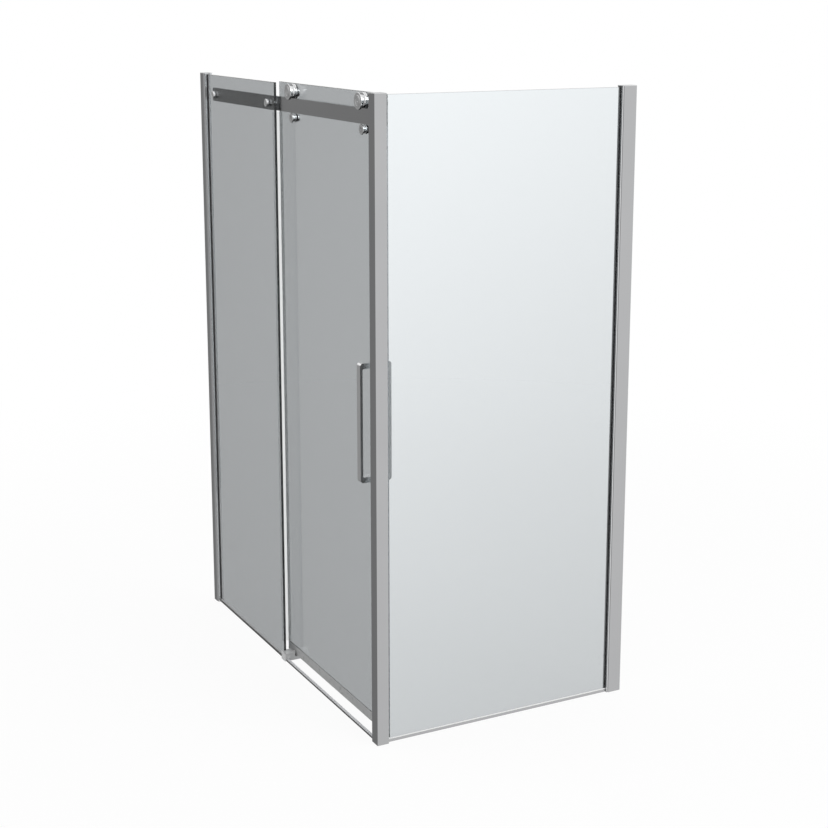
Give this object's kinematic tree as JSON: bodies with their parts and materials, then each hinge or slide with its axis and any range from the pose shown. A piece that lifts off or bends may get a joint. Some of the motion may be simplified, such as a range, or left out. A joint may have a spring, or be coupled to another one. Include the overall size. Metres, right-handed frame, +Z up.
{
  "type": "shower enclosure with sliding door",
  "caption": "Corner shower enclosure with glass side panel, fixed front panel and a glass door that slides on grooved wheels along a flat top rail.",
  "frame": {"origin": "on the floor, under the middle of the overall box", "axes": "+X along the front from the wall to the corner post, -Y out of the front, +Y to the wall that the side panel meets, +Z up"},
  "size_m": [1.38, 0.88, 1.95],
  "materials": {
    "extrusion": "polished, bright",
    "chrome": "polished",
    "screw_steel": "bright",
    "bearing_steel": "ground",
    "glass": "clear, polished",
    "clear_vinyl": "translucent",
    "dark_rubber": "matt",
    "trim_plastic": "gloss",
    "guide_plastic": "gloss",
    "nylon": "smooth"
  },
  "bodies": {
    "enclosure": {"bottom_guide": "guide_plastic", "corner_post": "extrusion", "corner_post_cap": "trim_plastic", "door_threshold": "extrusion", "fixed_glass": "glass", "fixed_glass_sill": "extrusion", "front_adjusting_profile": "extrusion", "front_glazing_gasket": "dark_rubber", "front_lock_screws": "screw_steel", "front_profile_cap": "trim_plastic", "front_wall_channel": "extrusion", "guide_pads": "nylon", "guide_set_screw": "screw_steel", "post_closing_strip": "extrusion", "rail_bolts": "screw_steel", "rail_gaskets": "clear_vinyl", "rail_knobs": "chrome", "rail_post_screws": "screw_steel", "rail_spacers": "chrome", "side_adjusting_profile": "extrusion", "side_glass": "glass", "side_glass_sill": "extrusion", "side_glazing_gasket": "dark_rubber", "side_lock_screws": "screw_steel", "side_post_gasket": "dark_rubber", "side_profile_cap": "trim_plastic", "side_wall_channel": "extrusion", "top_rail": "chrome"},
    "door": {"door_glass": "glass", "door_bottom_seal": "clear_vinyl", "door_overlap_seal": "clear_vinyl", "door_closing_seal": "clear_vinyl", "handle_outer": "chrome", "handle_inner": "chrome", "handle_studs": "screw_steel", "handle_gaskets": "clear_vinyl", "roller_axles": "screw_steel", "roller_inner_races": "bearing_steel", "roller_back_plates": "chrome", "roller_gaskets": "dark_rubber", "eccentric_bushes": "nylon", "roller_cap_nuts": "chrome", "anti_lift_spools": "chrome", "anti_lift_bolts": "screw_steel", "anti_lift_gaskets": "dark_rubber", "anti_lift_cap_nuts": "chrome"},
    "left_roller": {"left_wheel": "chrome", "left_wheel_cap": "chrome", "left_bearing_race": "bearing_steel", "left_bearing_balls": "bearing_steel"},
    "right_roller": {"right_wheel": "chrome", "right_wheel_cap": "chrome", "right_bearing_race": "bearing_steel", "right_bearing_balls": "bearing_steel"}
  },
  "joints": [
    {"name": "door_slide", "type": "slide", "parent": "enclosure", "child": "door", "axis": [-1, 0, 0], "range_m": [0, 0.56]},
    {"name": "left_wheel_turn", "type": "hinge", "parent": "door", "child": "left_roller", "pos_m": [0.033, -0.4115, 1.9193], "axis": [0, -1, 0], "continuous": true},
    {"name": "right_wheel_turn", "type": "hinge", "parent": "door", "child": "right_roller", "pos_m": [0.539, -0.4115, 1.9193], "axis": [0, -1, 0], "continuous": true}
  ],
  "couplings": [
    {"joint": "left_wheel_turn", "follows": "door_slide", "rad_per_m": 55.556},
    {"joint": "right_wheel_turn", "follows": "door_slide", "rad_per_m": 55.556}
  ]
}
